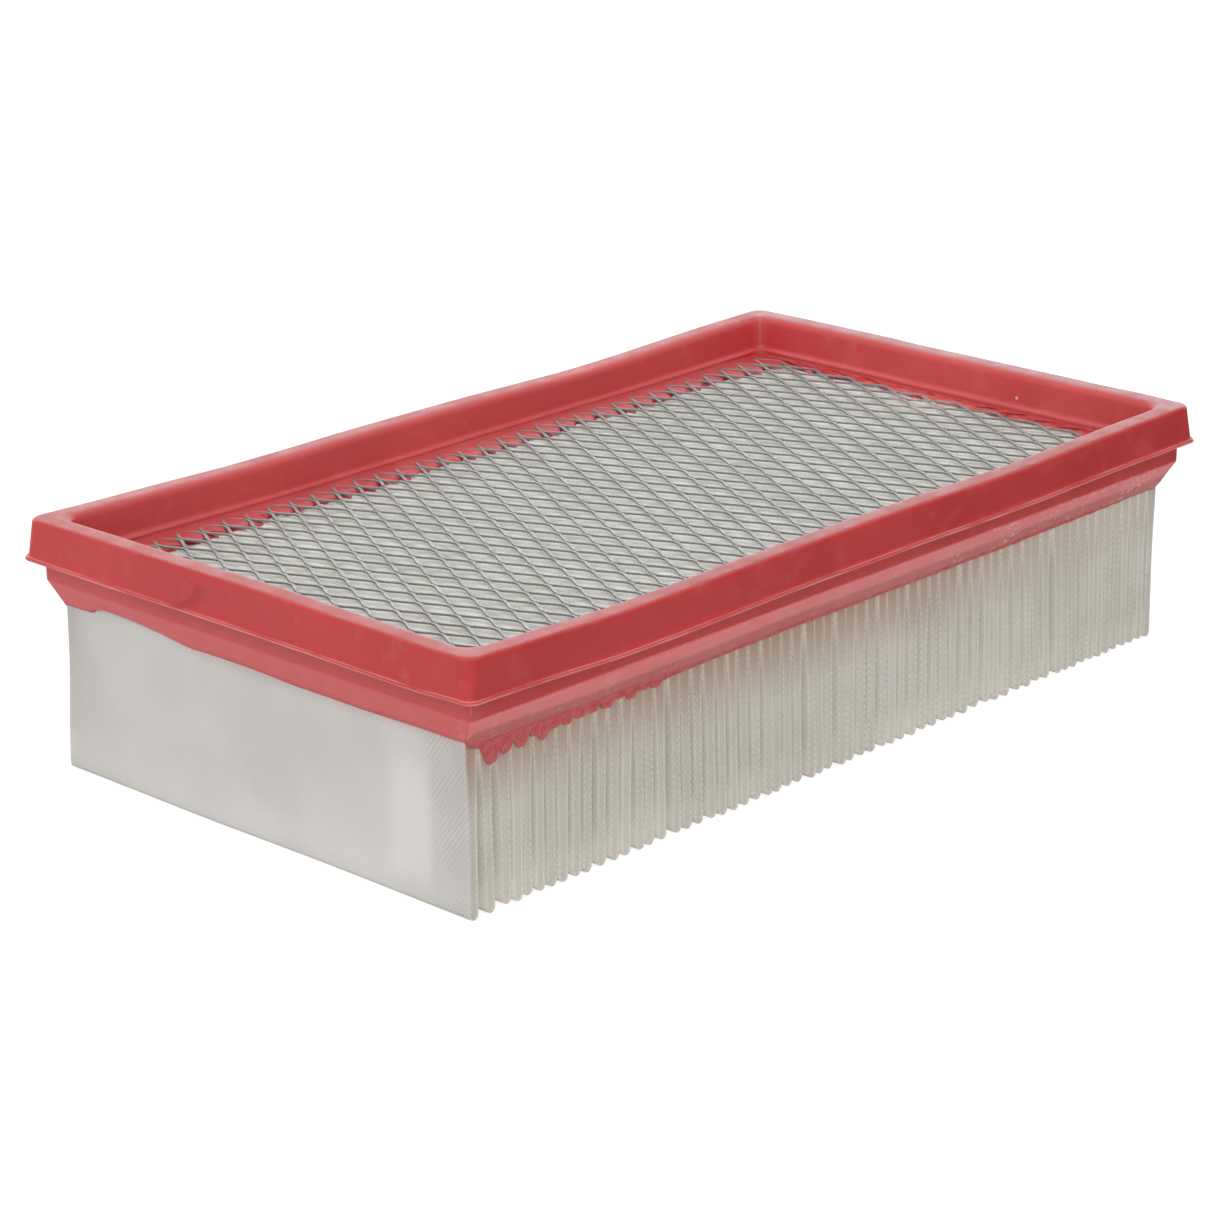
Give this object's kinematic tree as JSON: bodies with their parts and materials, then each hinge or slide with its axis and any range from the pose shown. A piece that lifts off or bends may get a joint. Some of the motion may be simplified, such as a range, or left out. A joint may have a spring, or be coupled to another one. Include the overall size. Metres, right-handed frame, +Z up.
{
  "type": "panel air filter",
  "caption": "Rectangular panel air filter: a cast red elastomer frame with a sealing rim and flange, an expanded-metal screen on the clean side and deep pleated media hanging below.",
  "frame": {"origin": "on the plane of the pleat tips, under the middle of the pleat pack", "axes": "+X along the long side, +Y along the short side, +Z up towards the clean side with the screen; the air flows along Z through the window"},
  "size_m": [0.244, 0.141, 0.0588],
  "materials": {
    "seal_elastomer": "cast polyurethane elastomer, red, satin skin from the mould",
    "screen_metal": "galvanised expanded metal, dull grey",
    "filter_media": "off-white nonwoven filter media, finely embossed",
    "hot_melt": "hot-melt adhesive, beige, slightly translucent"
  },
  "bodies": {
    "root": {"seal_frame": "seal_elastomer", "support_screen": "screen_metal", "pleated_media": "filter_media", "pocket_seals_front": "hot_melt", "pocket_seals_rear": "hot_melt"}
  },
  "joints": []
}
